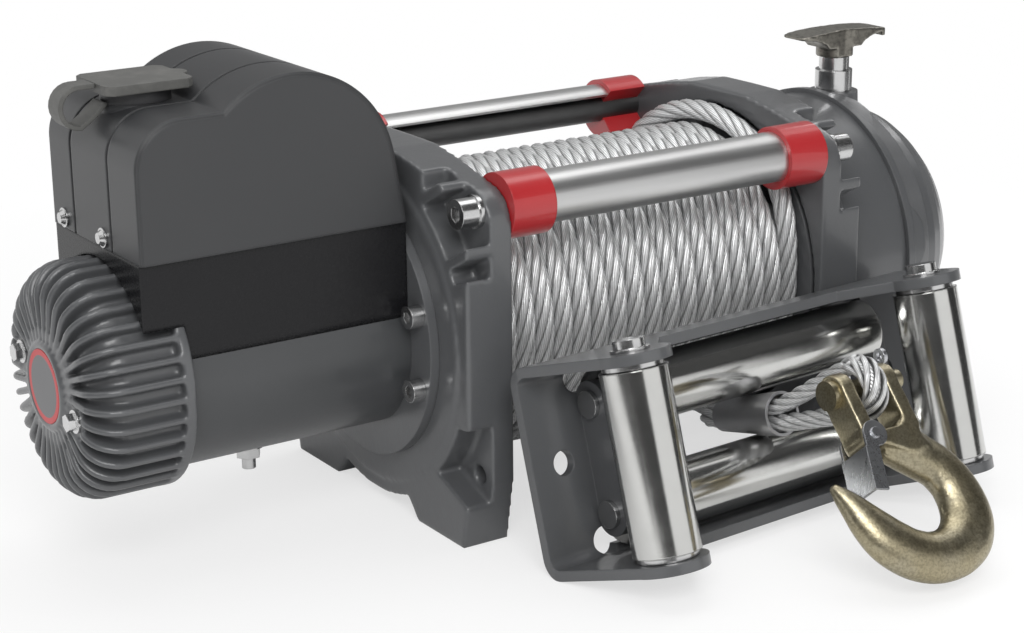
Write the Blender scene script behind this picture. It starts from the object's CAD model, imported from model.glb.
import math

import bmesh
import bpy
import numpy as np
from mathutils import Matrix, Vector


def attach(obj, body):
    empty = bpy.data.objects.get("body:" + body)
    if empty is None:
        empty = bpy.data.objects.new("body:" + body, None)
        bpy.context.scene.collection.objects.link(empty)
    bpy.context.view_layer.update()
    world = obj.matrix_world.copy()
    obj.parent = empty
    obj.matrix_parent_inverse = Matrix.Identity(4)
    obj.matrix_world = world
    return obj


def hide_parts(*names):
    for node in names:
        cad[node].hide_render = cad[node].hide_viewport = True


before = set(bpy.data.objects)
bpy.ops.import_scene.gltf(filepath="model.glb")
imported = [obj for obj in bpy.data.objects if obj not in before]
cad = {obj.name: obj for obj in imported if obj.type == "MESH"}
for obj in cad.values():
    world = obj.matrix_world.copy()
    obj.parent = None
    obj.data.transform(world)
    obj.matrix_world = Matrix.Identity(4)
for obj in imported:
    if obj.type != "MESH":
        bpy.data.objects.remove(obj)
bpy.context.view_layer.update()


def unit(v):
    v = np.asarray(v, float)
    return v / np.linalg.norm(v)


# Camera

CAMERA_SIGHT = 50


def stand_camera(place, azimuth, elevation, roll, lens):
    """A camera turned by its angles in degrees: at azimuth 0 it looks along +Y."""
    a, e, r = (math.radians(x) for x in (azimuth, elevation, roll))
    back = np.array([math.sin(a) * math.cos(e), -math.cos(a) * math.cos(e), math.sin(e)])
    level = np.array([math.cos(a), math.sin(a), 0.0])
    upright = np.cross(back, level)
    right = level * math.cos(r) + upright * math.sin(r)
    up = upright * math.cos(r) - level * math.sin(r)
    rows = [[*row, p] for row, p in zip(np.stack([right, up, back], 1), place)]
    camera = bpy.data.objects.new("camera", bpy.data.cameras.new("camera"))
    camera.matrix_world = Matrix(rows + [[0, 0, 0, 1]])
    camera.data.lens = lens
    camera.data.clip_end = CAMERA_SIGHT
    bpy.context.scene.collection.objects.link(camera)
    bpy.context.scene.camera = camera


stand_camera(place=(-0.74855, -1.06642, 0.49579), azimuth=-33.46, elevation=17.413, roll=-0.511,
             lens=77.24)


# Shader graphs

class Socket:
    """An output in a node tree. Sums of these add the tree's Math nodes."""

    def __init__(self, graph, link):
        self.graph, self.link = graph, link

    def maths(self, operation, *values):
        return self.graph.node("ShaderNodeMath", {"operation": operation}, dict(enumerate(values)))

    def __add__(self, other):
        return self.maths("ADD", self, other)

    def __radd__(self, other):
        return self.maths("ADD", other, self)

    def __sub__(self, other):
        return self.maths("SUBTRACT", self, other)

    def __rsub__(self, other):
        return self.maths("SUBTRACT", other, self)

    def __mul__(self, other):
        return self.maths("MULTIPLY", self, other)

    def __rmul__(self, other):
        return self.maths("MULTIPLY", other, self)

    def __gt__(self, other):
        return self.maths("GREATER_THAN", self, other)

    def wave(self):
        return self.maths("SINE", self)

    def size(self):
        return self.maths("ABSOLUTE", self)

    def held(self):
        """The value, kept between 0 and 1."""
        return self.graph.node("ShaderNodeClamp", {}, {0: self})


class Graph:
    """The node tree of a material or a world. Distances in it are in metres."""

    def __init__(self, owner, output="ShaderNodeOutputMaterial"):
        owner.use_nodes = True
        self.owner, self.tree = owner, owner.node_tree
        self.tree.nodes.clear()
        self.output = self.tree.nodes.new(output)

    def node(self, kind, settings, inputs, out=0):
        made = self.tree.nodes.new(kind)
        for key, value in settings.items():
            setattr(made, key, value)
        for key, value in inputs.items():
            socket = made.inputs[key]
            if isinstance(value, Socket):
                self.tree.links.new(value.link, socket)
            elif socket.type == "RGBA":
                socket.default_value = (*value, 1)
            else:
                socket.default_value = value
        return Socket(self, made.outputs[out])

    def place(self, stretch=(1, 1, 1)):
        """The point on the object, in the frame that the CAD has."""
        at = self.node("ShaderNodeTexCoord", {}, {}, "Object")
        return self.node("ShaderNodeVectorMath", {"operation": "MULTIPLY"}, {0: at, 1: stretch})

    def noise(self, scale, detail=2.0, rough=0.5, stretch=(1, 1, 1)):
        """Noise of so many cells to the metre, from 0 to 1."""
        return self.node("ShaderNodeTexNoise", {}, {
            "Vector": self.place(stretch), "Scale": scale,
            "Detail": detail, "Roughness": rough}, "Fac")

    def ramp(self, value, low, high):
        return self.node("ShaderNodeMapRange", {},
                         {"Value": value, "From Min": low, "From Max": high})

    def mix(self, share, a, b):
        return self.node("ShaderNodeMix", {"data_type": "RGBA"}, {0: share, 6: a, 7: b}, 2)

    def length(self, vector):
        return self.node("ShaderNodeVectorMath", {"operation": "LENGTH"}, {0: vector}, "Value")

    def soft_edge(self, radius):
        """A normal that rounds the edges."""
        return self.node("ShaderNodeBevel", {"samples": 4}, {"Radius": radius})

    def edge_share(self, radius):
        """0 on a flat and towards 1 on a sharp edge."""
        bent = self.soft_edge(radius)
        plain = self.node("ShaderNodeNewGeometry", {}, {}, "Normal")
        same = self.node("ShaderNodeVectorMath", {"operation": "DOT_PRODUCT"},
                         {0: bent, 1: plain}, "Value")
        return ((1 - same) * 4).held()

    def bump(self, height, depth, strength, under=None):
        inputs = {"Height": height, "Distance": depth, "Strength": strength}
        if under is not None:
            inputs["Normal"] = under
        return self.node("ShaderNodeBump", {}, inputs)

    def glow(self, colour):
        return self.node("ShaderNodeEmission", {}, {"Color": colour, "Strength": 1.0})

    def surface(self, shader):
        self.tree.links.new(shader.link, self.output.inputs["Surface"])
        return self.owner

    def finish(self, **sockets):
        named = {key.replace("_", " "): value for key, value in sockets.items()}
        return self.surface(self.node("ShaderNodeBsdfPrincipled", {}, named))


def new_finish(name):
    return Graph(bpy.data.materials.new(name))


# Finishes

# The drum's axis above the feet, and where the badge's red rim starts, in metres
AXIS_HEIGHT = 0.110
RIM_RADIUS = 0.0172
# Wires seen round a strand, and the length in which they go once round it
WIRES_SHOWN, WIRE_TURN = 12, 0.0427


def cast_paint():
    """Dark grey satin paint over sand castings, rubbed pale on the edges."""
    g = new_finish("cast_paint")
    low, high, rubbed = (0.072, 0.074, 0.078), (0.094, 0.097, 0.101), (0.20, 0.20, 0.205)
    cloud = g.noise(14, 3)
    sand = g.noise(900, 2, 0.6)
    swell = g.noise(120, 2)
    edge = g.edge_share(0.0012) * g.ramp(g.noise(55, 3), 0.35, 0.75)
    colour = g.mix(edge * 0.35, g.mix(cloud, low, high), rubbed)
    return g.finish(Base_Color=colour, Roughness=0.25 + sand * 0.12 + cloud * 0.06, Metallic=0.0,
                    Coat_Weight=0.4, Coat_Roughness=0.16,
                    Normal=g.bump(sand * 0.5 + swell, 0.00025, 0.55, g.soft_edge(0.0014)))


def tube_paint():
    """The motor tube's smooth paint, with a fine orange peel."""
    g = new_finish("tube_paint")
    low, high, rubbed = (0.040, 0.042, 0.044), (0.052, 0.054, 0.057), (0.22, 0.22, 0.225)
    cloud = g.noise(18, 3)
    peel = g.noise(420, 2)
    colour = g.mix(g.edge_share(0.0008) * 0.3, g.mix(cloud, low, high), rubbed)
    return g.finish(Base_Color=colour, Roughness=0.27 + peel * 0.08 + cloud * 0.06,
                    Coat_Weight=0.15,
                    Normal=g.bump(peel, 0.00012, 0.35, g.soft_edge(0.0008)))


def moulding(name, low, high, rough, grain, depth, shine=0.5):
    """Moulded plastic with a fine spark grain, between two tones."""
    g = new_finish(name)
    rubbed = [x * 1.8 + 0.02 for x in high]
    cloud = g.noise(11, 3)
    pits = g.noise(grain, 2, 0.7)
    colour = g.mix(g.edge_share(0.0014) * 0.5, g.mix(cloud, low, high), rubbed)
    return g.finish(Base_Color=colour, Roughness=rough + pits * 0.10 + cloud * 0.05,
                    Specular_IOR_Level=shine,
                    Normal=g.bump(pits, depth, 0.4, g.soft_edge(0.0022)))


def cap_rubber():
    """Rubber with a pale bloom."""
    g = new_finish("cap_rubber")
    low, high, bloomed = (0.082, 0.082, 0.078), (0.108, 0.108, 0.102), (0.20, 0.196, 0.184)
    cloud = g.noise(26, 3)
    bloom = g.ramp(g.noise(70, 4, 0.65), 0.45, 0.85)
    colour = g.mix(bloom * 0.5, g.mix(cloud, low, high), bloomed)
    return g.finish(Base_Color=colour, Roughness=0.50 + cloud * 0.12,
                    Normal=g.bump(g.noise(700, 2), 0.0001, 0.4, g.soft_edge(0.0012)))


def metal(name, colour, spread, rough, grain, depth, lines=(1, 1, 1), edge=0.0005, dull=0.08):
    """Bare or plated metal. lines is how the tool marks stretch along X, Y and Z."""
    g = new_finish(name)
    low, high = [x * (1 - spread) for x in colour], [min(1, x * (1 + spread)) for x in colour]
    hazed = [x * 0.55 for x in colour]
    cloud = g.noise(22, 3)
    marks = g.noise(grain, 2, 0.6, lines)
    haze = g.ramp(g.noise(60, 4, 0.6), 0.45, 0.8)
    tone = g.mix(haze * dull * 2, g.mix(cloud, low, high), hazed)
    return g.finish(Base_Color=tone, Metallic=1.0,
                    Roughness=rough + marks * rough * 0.8 + haze * dull,
                    Normal=g.bump(marks, depth, 0.35, g.soft_edge(edge)))


def cover_aluminium():
    """Extruded aluminium with drawing lines along the bar and small nicks."""
    g = new_finish("cover_aluminium")
    low, high, nicked = (0.56, 0.56, 0.56), (0.64, 0.64, 0.635), (0.42, 0.42, 0.42)
    lines = g.noise(1600, 2, 0.6, (0.012, 1, 1))
    long_lines = g.noise(500, 2, 0.5, (0.01, 1, 1))
    nicks = g.ramp(g.noise(260, 2, 0.5, (0.6, 1, 1)), 0.74, 0.80)
    cloud = g.noise(12, 3)
    tone = g.mix(nicks * 0.4, g.mix(cloud, low, high), nicked)
    return g.finish(Base_Color=tone, Metallic=1.0,
                    Roughness=0.26 + lines * 0.10 + cloud * 0.05 + nicks * 0.1,
                    Normal=g.bump(lines + long_lines, 0.00006, 0.5, g.soft_edge(0.0006)))


def clip_red():
    """Red lacquer on the clips, chipped a little on the edges."""
    g = new_finish("clip_red")
    low, high, chipped = (0.36, 0.012, 0.016), (0.44, 0.020, 0.024), (0.60, 0.20, 0.18)
    cloud = g.noise(30, 3)
    peel = g.noise(500, 2)
    chips = g.edge_share(0.0008) * g.ramp(g.noise(240, 3), 0.45, 0.7)
    colour = g.mix(chips * 0.4, g.mix(cloud, low, high), chipped)
    return g.finish(Base_Color=colour, Roughness=0.30 + peel * 0.10, Coat_Weight=0.6,
                    Normal=g.bump(peel, 0.00012, 0.4, g.soft_edge(0.0012)))


def badge_paint():
    """A grey disc with a thin red rim."""
    g = new_finish("badge_paint")
    low, high, red = (0.10, 0.10, 0.105), (0.13, 0.13, 0.135), (0.50, 0.025, 0.03)
    at = g.node("ShaderNodeTexCoord", {}, {}, "Object")
    across = g.node("ShaderNodeVectorMath", {"operation": "MULTIPLY_ADD"},
                    {0: at, 1: (0, 1, 1), 2: (0, 0, -AXIS_HEIGHT)})
    cloud = g.noise(60, 3)
    colour = g.mix(g.length(across) > RIM_RADIUS, g.mix(cloud, low, high), red)
    return g.finish(Base_Color=colour, Roughness=0.32 + cloud * 0.12,
                    Normal=g.bump(cloud, 0.0001, 0.3, g.soft_edge(0.0008)))


def rope_wire():
    """Galvanised strands. The fine wires run round each strand by its own UVs."""
    g = new_finish("rope_wire")
    low, high, dulled = (0.86, 0.87, 0.875), (0.95, 0.955, 0.96), (0.50, 0.50, 0.485)
    between_wires, between_strands = (0.20, 0.20, 0.20), (0.04, 0.04, 0.04)
    at = g.node("ShaderNodeUVMap", {"uv_map": "strand"}, {})
    around, along = (g.node("ShaderNodeSeparateXYZ", {}, {"Vector": at}, axis) for axis in "XY")
    wires = ((around * WIRES_SHOWN + along * (WIRES_SHOWN / WIRE_TURN)) * math.pi).wave().size()
    crest = g.ramp((around * (2 * math.pi) + math.pi / 2).wave(), -0.2, 0.6)
    cloud = g.noise(40, 3)
    dull = g.ramp(g.noise(160, 3, 0.6), 0.4, 0.8)
    tone = g.mix(dull * 0.35, g.mix(cloud, low, high), dulled)
    tone = g.mix((1 - wires) * 0.65, tone, between_wires)
    tone = g.mix((1 - crest) * 0.95, tone, between_strands)
    return g.finish(Base_Color=tone, Metallic=0.7,
                    Roughness=0.28 + dull * 0.16 + (1 - wires) * 0.2,
                    Normal=g.bump(wires, 0.00030, 0.8))


def hook_zinc():
    """Yellow zinc plate over a shot-blasted forging."""
    g = new_finish("hook_yellow_zinc")
    low, high, iridescent = (0.33, 0.285, 0.185), (0.46, 0.415, 0.29), (0.40, 0.38, 0.32)
    pitted = (0.14, 0.12, 0.075)
    lumps = g.noise(230, 3, 0.55)
    pits = g.noise(700, 2, 0.6)
    cloud = g.noise(28, 3)
    sheen = g.ramp(g.noise(55, 2), 0.40, 0.70)
    tone = g.mix(sheen * 0.35, g.mix(cloud, low, high), iridescent)
    tone = g.mix(g.ramp(pits, 0.35, 0.60) * 0.45 + 0.55, pitted, tone)
    return g.finish(Base_Color=tone, Metallic=1.0, Roughness=0.24 + lumps * 0.22,
                    Normal=g.bump(lumps * 0.7 + pits * 0.4, 0.0005, 0.5))


def knob_casting():
    """A plated casting with a lumpy skin."""
    g = new_finish("knob_casting")
    low, high, hollow = (0.20, 0.19, 0.165), (0.32, 0.305, 0.27), (0.10, 0.095, 0.085)
    lumps = g.noise(300, 3, 0.6)
    cloud = g.noise(35, 3)
    tone = g.mix(g.ramp(lumps, 0.45, 0.65) * 0.6, g.mix(cloud, low, high), hollow)
    return g.finish(Base_Color=tone, Metallic=1.0, Roughness=0.30 + lumps * 0.16,
                    Normal=g.bump(lumps, 0.0003, 0.5))


GREY = cast_paint()
TUBE = tube_paint()
COVER_BLACK = moulding("box_plastic", low=(0.030, 0.031, 0.033), high=(0.038, 0.039, 0.041),
                       rough=0.32, grain=1300, depth=0.00012)
SKIRT_BLACK = moulding("skirt_plastic", low=(0.006, 0.006, 0.007), high=(0.010, 0.010, 0.011),
                       rough=0.20, grain=500, depth=0.00006, shine=0.25)
SOCKET_BLACK = moulding("socket_plastic", low=(0.030, 0.030, 0.032), high=(0.040, 0.040, 0.042),
                        rough=0.40, grain=900, depth=0.0001)
RUBBER = cap_rubber()
ALUMINIUM = cover_aluminium()
RED = clip_red()
BADGE = badge_paint()
ROLLER = metal("roller_stainless", (0.60, 0.60, 0.585), spread=0.05, rough=0.10,
               grain=900, depth=0.00003, edge=0.0012, dull=0.05)
CHROME = metal("bright_chrome", (0.60, 0.60, 0.60), spread=0.06, rough=0.14,
               grain=800, depth=0.00003, edge=0.0006, dull=0.06)
GEAR_STEEL = metal("gear_steel", (0.42, 0.42, 0.43), spread=0.10, rough=0.28,
                   grain=700, depth=0.0001)
DARK_STEEL = metal("dark_steel", (0.13, 0.13, 0.13), spread=0.12, rough=0.32,
                   grain=900, depth=0.0001, lines=(0.1, 1, 1))
ROPE = rope_wire()
HOOK_GOLD = hook_zinc()
ZINC = metal("zinc_sheet", (0.50, 0.51, 0.53), spread=0.10, rough=0.20,
             grain=700, depth=0.00006, lines=(1, 1, 0.2), edge=0.0006)
KNOB = knob_casting()
BRONZE = metal("bushing_bronze", (0.60, 0.42, 0.20), spread=0.10, rough=0.30,
               grain=900, depth=0.0001)
COPPER = metal("winding_copper", (0.72, 0.40, 0.22), spread=0.10, rough=0.30,
               grain=900, depth=0.0001, lines=(0.2, 1, 1))

DRESS = {
    GREY: ["left_drum_support", "right_drum_support", "gear_housing", "gear_end_cover", "drum",
           "motor_flange", "motor_end_cap", "fairlead_frame"],
    TUBE: ["motor_tube"],
    COVER_BLACK: ["control_box_front_cover", "control_box_middle", "control_box_rear_cover"],
    SKIRT_BLACK: ["control_box_base", "brush_holder"],
    SOCKET_BLACK: ["remote_socket"],
    RUBBER: ["dust_cap", "dust_cap_strap"],
    ALUMINIUM: ["front_tie_cover", "rear_tie_cover"],
    RED: ["tie_bar_clips"],
    BADGE: ["hub_badge"],
    ROLLER: ["fairlead_roller_left", "fairlead_roller_right", "fairlead_roller_upper",
             "fairlead_roller_lower"],
    CHROME: ["gear_cover_screws", "clutch_sleeve", "clutch_plunger", "motor_flange_screws",
             "end_cap_bolts", "motor_terminal", "tie_bar_screws", "control_box_screws",
             "fairlead_roller_pins"],
    GEAR_STEEL: ["ring_gear", "sun_gear", "planet_gear_top", "planet_gear_front",
                 "planet_gear_rear", "output_carrier", "primary_gear_pack", "drive_shaft",
                 "load_brake", "field_poles", "rope_ferrule"],
    DARK_STEEL: ["front_tie_bar", "rear_tie_bar"],
    HOOK_GOLD: ["clevis_pin", "hook"],
    ZINC: ["clevis_cotter", "hook_latch"],
    KNOB: ["clutch_handle"],
    BRONZE: ["drum_bushings"],
    COPPER: ["armature", "contactors"],
    ROPE: ["rope_inner_layers", "rope_winding", "rope_tail", "rope_eye"],
}
for finish, nodes in DRESS.items():
    for node in nodes:
        cad[node].data.materials.clear()
        cad[node].data.materials.append(finish)


# Ways to make a piece

def piece(name, points, faces, body, finish, uv=None):
    mesh = bpy.data.meshes.new(name)
    mesh.from_pydata([tuple(p) for p in points], [], [tuple(f) for f in faces])
    mesh.polygons.foreach_set("use_smooth", [True] * len(mesh.polygons))
    if uv is not None:
        layer = mesh.uv_layers.new(name="strand")
        layer.data.foreach_set("uv", np.asarray(uv, np.float32).ravel())
    mesh.validate()
    mesh.materials.append(finish)
    made = bpy.data.objects.new(name, mesh)
    bpy.context.scene.collection.objects.link(made)
    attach(made, body)
    return made


def softened(node, name, grain, rounds, body, finish):
    """A copy of a node with its edges flowed together, as forgings and sand castings have them.

    grain is the size of the cells that it is made of, and rounds how often they are smoothed."""
    raw = bpy.data.objects.new(name + "_raw", cad[node].data.copy())
    raw.matrix_world = cad[node].matrix_world
    bpy.context.scene.collection.objects.link(raw)
    skin = raw.modifiers.new("skin", "REMESH")
    skin.mode, skin.voxel_size = "VOXEL", grain
    flow = raw.modifiers.new("flow", "SMOOTH")
    flow.factor, flow.iterations = 0.5, rounds
    shaped = raw.evaluated_get(bpy.context.evaluated_depsgraph_get())
    cast = bpy.data.meshes.new_from_object(shaped)
    points = [raw.matrix_world @ v.co for v in cast.vertices]
    made = piece(name, points, [list(f.vertices) for f in cast.polygons], body, finish)
    bpy.data.objects.remove(raw)
    bpy.data.meshes.remove(cast)
    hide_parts(node)


def smooth_line(points, steps):
    """A smooth curve through the points between the first and the last, which end it straight."""
    p = [np.array(q, float) for q in points]
    line = [p[0]]
    for i in range(1, len(p) - 2):
        a, b, c, d = p[i - 1], p[i], p[i + 1], p[i + 2]
        for t in np.linspace(0, 1, steps, endpoint=False):
            line.append(0.5 * (2 * b + (c - a) * t + (2 * a - 5 * b + 4 * c - d) * t * t
                               + (3 * b - a - 3 * c + d) * t ** 3))
    return np.array(line + [p[-2], p[-1]])


def along_line(points, step):
    """Evenly spaced points on a polyline, with the length so far at each."""
    points = np.asarray(points, float)
    run = np.concatenate([[0], np.cumsum(np.linalg.norm(np.diff(points, axis=0), axis=1))])
    count = max(2, int(round(run[-1] / step)) + 1)
    at = np.linspace(0, run[-1], count)
    return np.stack([np.interp(at, run, points[:, k]) for k in range(3)], 1), at


def tangents(points):
    ends = np.empty_like(points)
    ends[1:-1] = points[2:] - points[:-2]
    ends[0], ends[-1] = points[1] - points[0], points[-1] - points[-2]
    return ends / np.linalg.norm(ends, axis=1)[:, None]


def squared(outs, ahead):
    """The same directions, turned square to the line and brought to length 1."""
    outs = outs - ahead * np.sum(outs * ahead, 1)[:, None]
    return outs / np.linalg.norm(outs, axis=1)[:, None]


def carried_outs(points, first_out):
    """A direction across the line at each point, carried along without twist."""
    outs = np.empty_like(points)
    out = np.asarray(first_out, float)
    for i, t in enumerate(tangents(points)):
        out = out - t * (out @ t)
        out = out / np.linalg.norm(out)
        outs[i] = out
    return outs


def tube(centres, outs, acrosses, half_out, half_across, sides):
    """Rings of points round a line, the quads between them, and each quad's ring and side."""
    turn = np.linspace(0, 2 * math.pi, sides, endpoint=False)
    rings = (centres[:, None] + outs[:, None] * (np.cos(turn)[None, :, None] * half_out)
             + acrosses[:, None] * (np.sin(turn)[None, :, None] * half_across))
    i, k = np.meshgrid(np.arange(len(centres) - 1), np.arange(sides), indexing="ij")
    a, b = i * sides + k, i * sides + (k + 1) % sides
    faces = np.stack([a, b, b + sides, a + sides], -1).reshape(-1, 4)
    return rings.reshape(-1, 3), faces, (i.ravel(), k.ravel())


# Rope: the numbers repeat the CAD route, in metres

ROPE_D, ROPE_LAY, STRANDS = 0.013, 0.086, 6
# A strand's thickness as a share of the rope's, and its breadth as a share of its thickness
STRAND_SHARE, STRAND_BREADTH = 0.345, 1.10
# How far the core laps into the strands, and the least half size that it has
CORE_LAP, CORE_LEAST = 0.0006, 0.002


def strand_rope(name, line, find_outs, body, half=(ROPE_D / 2, ROPE_D / 2), lay=ROPE_LAY,
                step=0.0036, sides=9):
    """A wire rope of strands twisted round a core. half is its half size out and across."""
    points, run = along_line(line, step)
    out = find_outs(points)
    side = np.cross(tangents(points), out)
    thick = min(half) * STRAND_SHARE
    parts, first = [], 0

    def add(centres, outs, acrosses, half_out, half_across):
        nonlocal first
        verts, faces, (i, k) = tube(centres, outs, acrosses, half_out, half_across, sides)
        u0, u1, v0, v1 = k / sides, (k + 1) / sides, run[i], run[i + 1]
        uv = np.stack([u0, v0, u1, v0, u1, v1, u0, v1], 1).reshape(-1, 2)
        parts.append((verts, faces + first, uv))
        first += len(verts)

    for j in range(STRANDS):
        turn = 2 * math.pi * (j / STRANDS + run / lay)
        lift = (out * (np.cos(turn) * (half[0] - thick))[:, None]
                + side * (np.sin(turn) * (half[1] - thick))[:, None])
        centres = points + lift
        ahead = tangents(centres)
        outward = squared(lift, ahead)
        add(centres, outward, np.cross(ahead, outward), thick, thick * STRAND_BREADTH)
    add(points, out, side, *(max(CORE_LEAST, h - 2 * thick + CORE_LAP) for h in half))
    verts, faces, uv = (np.concatenate(part) for part in zip(*parts))
    return piece(name, verts, faces, body, ROPE, uv), points, run[-1]


# Turns in all, the last part of them that lies over the rest, and the climb to it
TURNS, OVER_TURN, CLIMB = 17, 0.75, 0.15
LOW_TURNS = TURNS - OVER_TURN
# Half the width of the winding, its radius, and how much higher the part over it lies
WIND_X, WIND_R, OVER_RISE = 0.1049, 0.081, 0.013195
POINTS_A_TURN = 72


def wound_point(s):
    """The rope's middle after s turns. The last of them climb over the layer and come back."""
    a = math.radians(-90 + 360 * (TURNS - s))
    u = max(s - LOW_TURNS, 0)
    up, over = min(u / CLIMB, 1), max((u - CLIMB) / (OVER_TURN - CLIMB), 0)
    r = WIND_R + OVER_RISE * up * up * (3 - 2 * up)
    x = -WIND_X + 2 * WIND_X * min(s / LOW_TURNS, 1) - ROPE_D * over
    return [x, r * math.cos(a), AXIS_HEIGHT + r * math.sin(a)]


def drum_outs(points):
    """Away from the drum's axis at each point."""
    outs = np.stack([np.zeros(len(points)), points[:, 1], points[:, 2] - AXIS_HEIGHT], 1)
    return squared(outs, tangents(points))


# The fairlead lies loose, so it has a place and three directions of its own
FAIR_PLACE = np.array([0.023, -0.13282, 0.05567])
FAIR_ALONG = np.array([0.99756, 0.06976, 0.0])
FAIR_FORWARD = np.array([0.06671, -0.95398, 0.29237])
FAIR_UP = np.array([-0.02039, 0.29166, 0.95630])


def fairlead_point(along, forward, up):
    return FAIR_PLACE + FAIR_ALONG * along + FAIR_FORWARD * forward + FAIR_UP * up


# How far the rope runs to one side of the fairlead's middle
ROPE_SIDE = 0.005

last_wound = wound_point(TURNS)
tail_points = [
    [last_wound[0], -ROPE_D, last_wound[2]], [last_wound[0], -2 * ROPE_D, last_wound[2]],
    [0.088, -0.045, 0.019], [0.072, -0.072, 0.027], [0.050, -0.092, 0.037],
    fairlead_point(ROPE_SIDE, -0.027, 0), fairlead_point(ROPE_SIDE, -0.0141, 0)]
tail_line = smooth_line(tail_points, steps=10)
tail, tail_path, tail_length = strand_rope(
    "rope_tail_strands", tail_line, lambda points: carried_outs(points, (0, 0, -1)), "winch_body",
    step=0.003)
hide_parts("rope_tail")

wound = [wound_point(s) for s in np.linspace(0, TURNS, TURNS * POINTS_A_TURN + 1)]
wound_line = ([[-WIND_X, ROPE_D, wound[0][2]]] + wound
              + [[last_wound[0], -ROPE_D, last_wound[2]]])
winding, _, _ = strand_rope("rope_winding_strands", wound_line, drum_outs, "drum_body")
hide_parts("rope_winding")

# The under layer: half its width, its radius between turns, the turns' swell and their pitch
UNDER_END, UNDER_R, UNDER_SWELL, UNDER_PITCH = 0.1117, 0.0725, 0.0022, 0.0131
# The radius of its hole as a share of its end rings, and its rings and sides
HOLE_SHARE, UNDER_RINGS, UNDER_SIDES = 0.57, 17 * 8 + 1, 72
# How many of its sides and rings the wires' UVs take to grow by 1
SIDES_A_UNIT, RINGS_A_UNIT = 6, 80


def under_layer():
    """The layer under the outer one, with the ridges of its own turns."""
    turn = np.linspace(0, 2 * math.pi, UNDER_SIDES, endpoint=False)
    rings = []
    for x in np.linspace(-UNDER_END, UNDER_END, UNDER_RINGS):
        r = UNDER_R + UNDER_SWELL * abs(math.cos(math.pi * x / UNDER_PITCH))
        rings.append(np.stack([np.full(UNDER_SIDES, x), r * np.cos(turn),
                               AXIS_HEIGHT + r * np.sin(turn)], 1))
    axis = [0, 0, AXIS_HEIGHT]
    inwards = [0, HOLE_SHARE, HOLE_SHARE]
    first, last = (ring * [1, 0, 0] + (ring - axis) * inwards + axis
                   for ring in (rings[0], rings[-1]))
    rings = [first] + rings + [last]
    faces, uv = [], []
    for i in range(len(rings)):
        here, there = i * UNDER_SIDES, (i + 1) % len(rings) * UNDER_SIDES
        for k in range(UNDER_SIDES):
            after = (k + 1) % UNDER_SIDES
            faces.append((here + k, here + after, there + after, there + k))
            u0, u1 = k / SIDES_A_UNIT, (k + 1) / SIDES_A_UNIT
            v0, v1 = i / RINGS_A_UNIT, (i + 1) / RINGS_A_UNIT
            uv += [(u0, v0), (u1, v0), (u1, v1), (u0, v1)]
    made = piece("rope_under_layer", np.concatenate(rings), faces, "drum_body", ROPE,
                 uv)
    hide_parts("rope_inner_layers")


under_layer()

PIN = np.array([0.040, -0.219, 0.0945])
# The eye's rope: half its size out and across, its bend's radius and its lay
EYE_HALF, EYE_BEND, EYE_LAY = (0.0050, 0.0075), 0.0135, 0.062
# The bend's angles round the pin in degrees, and its points
EYE_FROM, EYE_TO, BEND_POINTS = 78, 282, 25
# The legs: where they leave the ferrule, the room between them, and the ends that are held and free
FERRULE_MOUTH, LEG_GAP, LEG_HELD, LEG_FREE = 0.024, 0.0003, 0.004, 0.014


def rope_eye():
    """Two legs out of the ferrule, joined round the clevis pin."""
    mouth = fairlead_point(ROPE_SIDE, FERRULE_MOUTH, 0)
    eye_back = unit([0, mouth[1] - PIN[1], mouth[2] - PIN[2]])
    eye_up = unit(np.cross([1, 0, 0], eye_back))
    leg_up = unit(np.cross(FAIR_FORWARD, [1, 0, 0]))
    upper = mouth + FAIR_FORWARD * LEG_GAP + leg_up * (EYE_HALF[0] + LEG_GAP)
    lower = upper - leg_up * 2 * (EYE_HALF[0] + LEG_GAP)
    held, free = FAIR_FORWARD * LEG_HELD, FAIR_FORWARD * LEG_FREE
    bend = [PIN + EYE_BEND * (eye_back * math.cos(math.radians(a))
                              + eye_up * math.sin(math.radians(a)))
            for a in np.linspace(EYE_FROM, EYE_TO, BEND_POINTS)]
    line = smooth_line([upper - held, upper, upper + free] + bend
                       + [lower + free, lower, lower - held], steps=6)
    made, _, _ = strand_rope("rope_eye_strands", line, lambda points: carried_outs(points, leg_up),
                             "winch_body", EYE_HALF, EYE_LAY, step=0.002, sides=12)
    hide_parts("rope_eye")


rope_eye()


# Forgings and castings

softened("hook", "hook_forging", grain=0.0010, rounds=13, body="hook_body", finish=HOOK_GOLD)

# The bowl's middle line in the hook's own plane, with its half breadth and half thickness, in mm
BOWL = [
    (3, -30, 17, 10), (9, -38, 15, 10), (17, -46, 14, 10), (25, -54, 13.5, 10), (30, -64, 14, 10),
    (31.5, -75, 15, 10.5), (29.5, -86.5, 16, 10.5), (23, -95.5, 16, 10.5), (13, -101, 15, 10.5),
    (3, -102.5, 14.5, 10.5), (-7.5, -101, 14.5, 10.5), (-18.5, -95.5, 14.5, 10.5),
    (-28.5, -85.5, 14, 10), (-35, -74.5, 11.5, 9), (-40, -63.5, 8, 7), (-44, -55.5, 5, 5),
    (-46.5, -50.5, 2.8, 3)]
# Past the last row, how far in metres, and the share of its size that is left
TIP = ((0.0008, 0.85), (0.0014, 0.5), (0.0017, 0.02))
# The first end, closed in the shank: its share of the first row, and how far back it lies
SHANK_SHARE, SHANK_BACK = 0.02, 0.0001
MM, SLIM_MM, HOOK_LEAN, BOWL_SIDES = 0.001, 0.000988, 48, 40


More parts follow.
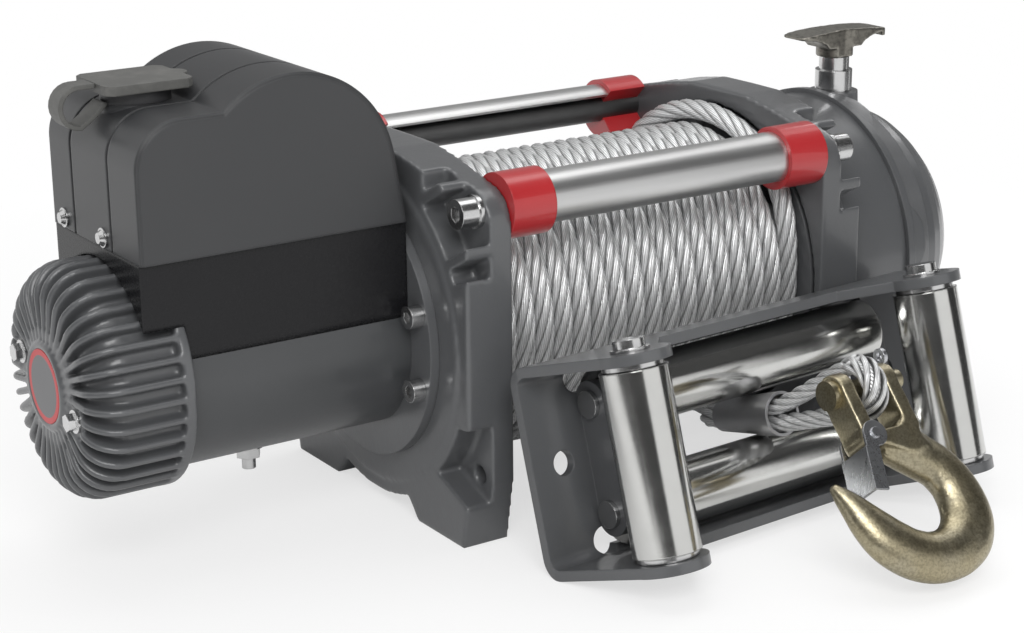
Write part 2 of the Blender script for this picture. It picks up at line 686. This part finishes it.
def hook_bowl():
    """The bowl swept round and smooth over the forging, a hair slimmer so that it stays inside."""
    rows = smooth_line(np.array(BOWL) * [MM, MM, SLIM_MM, SLIM_MM], steps=8)
    end = unit(rows[-1, :2] - rows[-2, :2])
    tip = [[*(rows[-1, :2] + end * out), *(rows[-1, 2:] * share)] for out, share in TIP]
    start = rows[:1] * [1, 1, SHANK_SHARE, SHANK_SHARE] - [SHANK_BACK, -SHANK_BACK, 0, 0]
    rows = np.concatenate([start, rows, tip])
    lean = math.radians(HOOK_LEAN)
    up = np.array([0, math.cos(lean), math.sin(lean)])
    out = np.array([0, -math.sin(lean), math.cos(lean)])
    centres = PIN + rows[:, :1] * [1, 0, 0] + rows[:, 1:2] * up
    ahead = tangents(centres)
    side = np.cross(out, ahead)
    points, faces, _ = tube(centres, side, np.cross(ahead, side), rows[:, 2, None, None],
                            rows[:, 3, None, None], BOWL_SIDES)
    made = piece("hook_bowl_forging", points, faces, "hook_body", HOOK_GOLD)
    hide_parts("hook")


hook_bowl()
softened("clutch_handle", "clutch_handle_casting", grain=0.0006, rounds=6,
         body="clutch_handle_body", finish=KNOB)
for node, grain, rounds in (("motor_end_cap", 0.0010, 8), ("left_drum_support", 0.0014, 4),
                            ("right_drum_support", 0.0014, 4)):
    softened(node, node + "_casting", grain, rounds, "winch_body", GREY)


# Floor, light and background

FLOOR_RADIUS, FLOOR_TONE = 9, 0.93
# Where the floor fades to white, in metres, and how much white the camera sees in all of it
FADE_FROM, FADE_TO, FLOOR_GLOW = 0.5, 1.3, 0.64
WORLD_LIGHT = 0.55
CARD_AIM = (0, 0, 0.15)
WHITE = (1, 1, 1)


def floor_finish():
    """Pale ground that keeps the shadows, and turns to plain white far out."""
    g = new_finish("studio_floor")
    far = g.ramp(g.length(g.node("ShaderNodeTexCoord", {}, {}, "Object")), FADE_FROM, FADE_TO)
    seen = g.node("ShaderNodeLightPath", {}, {}, "Is Camera Ray")
    ground = g.node("ShaderNodeBsdfDiffuse", {}, {"Color": (FLOOR_TONE,) * 3})
    return g.surface(g.node("ShaderNodeMixShader", {}, {
        0: (far + seen * FLOOR_GLOW).held(), 1: ground, 2: g.glow(WHITE)}))


def round_floor():
    mesh = bpy.data.meshes.new("floor")
    made = bpy.data.objects.new("floor", mesh)
    work = bmesh.new()
    bmesh.ops.create_circle(work, cap_ends=True, segments=96, radius=FLOOR_RADIUS)
    work.to_mesh(mesh)
    work.free()
    mesh.materials.append(floor_finish())
    bpy.context.scene.collection.objects.link(made)


def stand(made, place, aim):
    """Put a lamp or a card at a place, with its face towards the aim."""
    made.location = place
    made.rotation_mode = "QUATERNION"
    made.rotation_quaternion = (Vector(aim) - Vector(place)).to_track_quat("-Z", "Y")
    bpy.context.scene.collection.objects.link(made)


def softbox(name, place, aim, size, power):
    lamp = bpy.data.lights.new(name, "AREA")
    lamp.shape, lamp.size, lamp.size_y = "RECTANGLE", *size
    lamp.energy = power
    stand(bpy.data.objects.new(name, lamp), place, aim)


def room_card(name, azimuth, height, size, tone, reach):
    """A grey card round the object, at a reach from it, that only shows in reflections."""
    a = math.radians(azimuth)
    x, y = size[0] / 2, size[1] / 2
    mesh = bpy.data.meshes.new(name)
    mesh.from_pydata([(-x, -y, 0), (x, -y, 0), (x, y, 0), (-x, y, 0)], [], [(0, 1, 2, 3)])
    g = new_finish(name)
    mesh.materials.append(g.surface(g.glow((tone,) * 3)))
    made = bpy.data.objects.new(name, mesh)
    made.visible_camera = made.visible_diffuse = made.visible_shadow = False
    stand(made, (reach * math.sin(a), -reach * math.cos(a), height), CARD_AIM)


def studio_world():
    """White to the camera and in reflections, and a softer light on the object."""
    g = Graph(bpy.data.worlds.new("studio"), "ShaderNodeOutputWorld")
    camera, shine, through = (g.node("ShaderNodeLightPath", {}, {}, f"Is {kind} Ray")
                              for kind in ("Camera", "Glossy", "Transmission"))
    light, white = (g.node("ShaderNodeBackground", {}, {"Color": WHITE, "Strength": strength})
                    for strength in (WORLD_LIGHT, 1.0))
    bpy.context.scene.world = g.surface(g.node("ShaderNodeMixShader", {}, {
        0: (camera + shine + through).held(), 1: light, 2: white}))


round_floor()
studio_world()
softbox("key_light", place=(-1.0, -1.7, 1.6), aim=(0, 0, 0.1), size=(1.4, 1.0), power=33)
softbox("top_light", place=(0.2, 0.3, 2.0), aim=(0, 0, 0.1), size=(1.8, 1.2), power=10)
softbox("side_light", place=(1.8, 0.7, 0.9), aim=(0.1, 0, 0.1), size=(0.8, 1.2), power=10)
room_card("left_card", azimuth=-84, height=0.30, size=(1.3, 0.6), tone=0.10, reach=1.0)
room_card("camera_card", azimuth=-38, height=1.2, size=(3.6, 3.4), tone=0.05, reach=3.0)
room_card("right_card", azimuth=58, height=0.30, size=(0.6, 0.6), tone=0.05, reach=1.0)
room_card("far_right_card", azimuth=104, height=0.30, size=(1.0, 0.6), tone=0.16, reach=1.0)
room_card("high_card", azimuth=48, height=2.4, size=(3.4, 2.2), tone=0.08, reach=2.4)
room_card("back_card", azimuth=150, height=1.5, size=(4.6, 2.8), tone=0.32, reach=2.6)
bpy.context.scene.view_settings.view_transform = "Standard"
